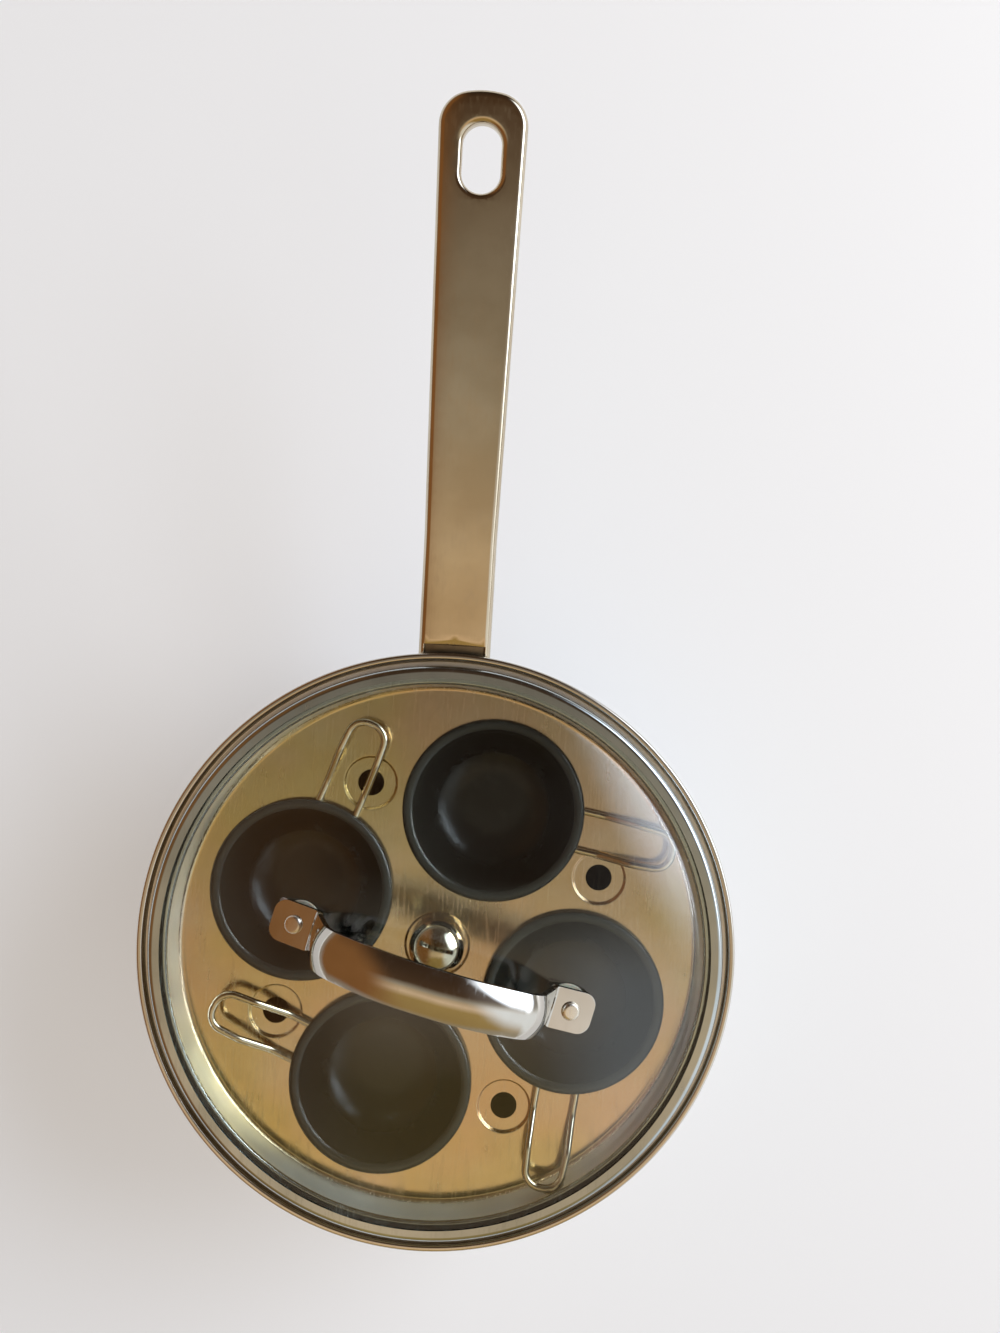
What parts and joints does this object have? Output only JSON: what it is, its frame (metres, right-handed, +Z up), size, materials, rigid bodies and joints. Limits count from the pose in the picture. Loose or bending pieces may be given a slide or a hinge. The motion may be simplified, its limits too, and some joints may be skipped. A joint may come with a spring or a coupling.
{
  "type": "egg poacher pan",
  "caption": "Lidded steel saucepan with a lift-out tray of dark non-stick egg cups on wire loops, a centre knob, a domed glass lid with bowed handle and a long pressed handle.",
  "frame": {"origin": "centre of the base's flat underside", "axes": "+Z up, out of the pan's mouth; +Y along the long handle, towards its tip"},
  "size_m": [0.215, 0.4073, 0.1289],
  "materials": {
    "pot_steel": "mirror-polished 18/10 stainless steel",
    "base_core": "plain rolled aluminium",
    "handle_steel": "polished pressed stainless steel",
    "tray_steel": "satin-polished stainless steel with a warm reflection",
    "knob_steel": "mirror-polished stainless steel",
    "fastener_steel": "plain stainless steel",
    "cup_coating": "aluminium with a dark non-stick coating",
    "wire_steel": "polished stainless steel rod",
    "lid_glass": "clear tempered soda-lime glass",
    "lid_band_steel": "polished stainless steel strip",
    "lid_handle_steel": "mirror-polished stainless steel",
    "silicone": "translucent silicone rubber"
  },
  "bodies": {
    "pan": {"pan_shell": "pot_steel", "base_core_disc": "base_core", "base_cap": "pot_steel", "pan_handle": "handle_steel", "handle_bracket": "handle_steel"},
    "tray": {"tray_plate": "tray_steel", "tray_knob": "knob_steel", "tray_knob_washer": "fastener_steel", "tray_knob_screw": "fastener_steel"},
    "cup_a": {"cup_a_bowl": "cup_coating", "cup_a_handle": "wire_steel"},
    "cup_b": {"cup_b_bowl": "cup_coating", "cup_b_handle": "wire_steel"},
    "cup_c": {"cup_c_bowl": "cup_coating", "cup_c_handle": "wire_steel"},
    "cup_d": {"cup_d_bowl": "cup_coating", "cup_d_handle": "wire_steel"},
    "lid": {"lid_glass": "lid_glass", "lid_rim_band": "lid_band_steel", "lid_handle": "lid_handle_steel", "lid_rivets": "lid_handle_steel", "lid_upper_gaskets": "silicone", "lid_lower_gaskets": "silicone", "lid_backing_washers": "fastener_steel"}
  },
  "joints": [
    {"name": "tray_lift", "type": "slide", "parent": "pan", "child": "tray", "axis": [0, 0, 1], "range_m": [0, 0.06]},
    {"name": "cup_a_lift", "type": "slide", "parent": "tray", "child": "cup_a", "axis": [0, 0, 1], "range_m": [0, 0.045]},
    {"name": "cup_b_lift", "type": "slide", "parent": "tray", "child": "cup_b", "axis": [0, 0, 1], "range_m": [0, 0.045]},
    {"name": "cup_c_lift", "type": "slide", "parent": "tray", "child": "cup_c", "axis": [0, 0, 1], "range_m": [0, 0.045]},
    {"name": "cup_d_lift", "type": "slide", "parent": "tray", "child": "cup_d", "axis": [0, 0, 1], "range_m": [0, 0.045]},
    {"name": "lid_lift", "type": "slide", "parent": "cup_a", "child": "lid", "axis": [0, 0, 1], "range_m": [0, 0.06]}
  ],
  "couplings": [
    {"joint": "cup_b_lift", "follows": "cup_a_lift", "ratio": 1},
    {"joint": "cup_c_lift", "follows": "cup_a_lift", "ratio": 1},
    {"joint": "cup_d_lift", "follows": "cup_a_lift", "ratio": 1}
  ]
}
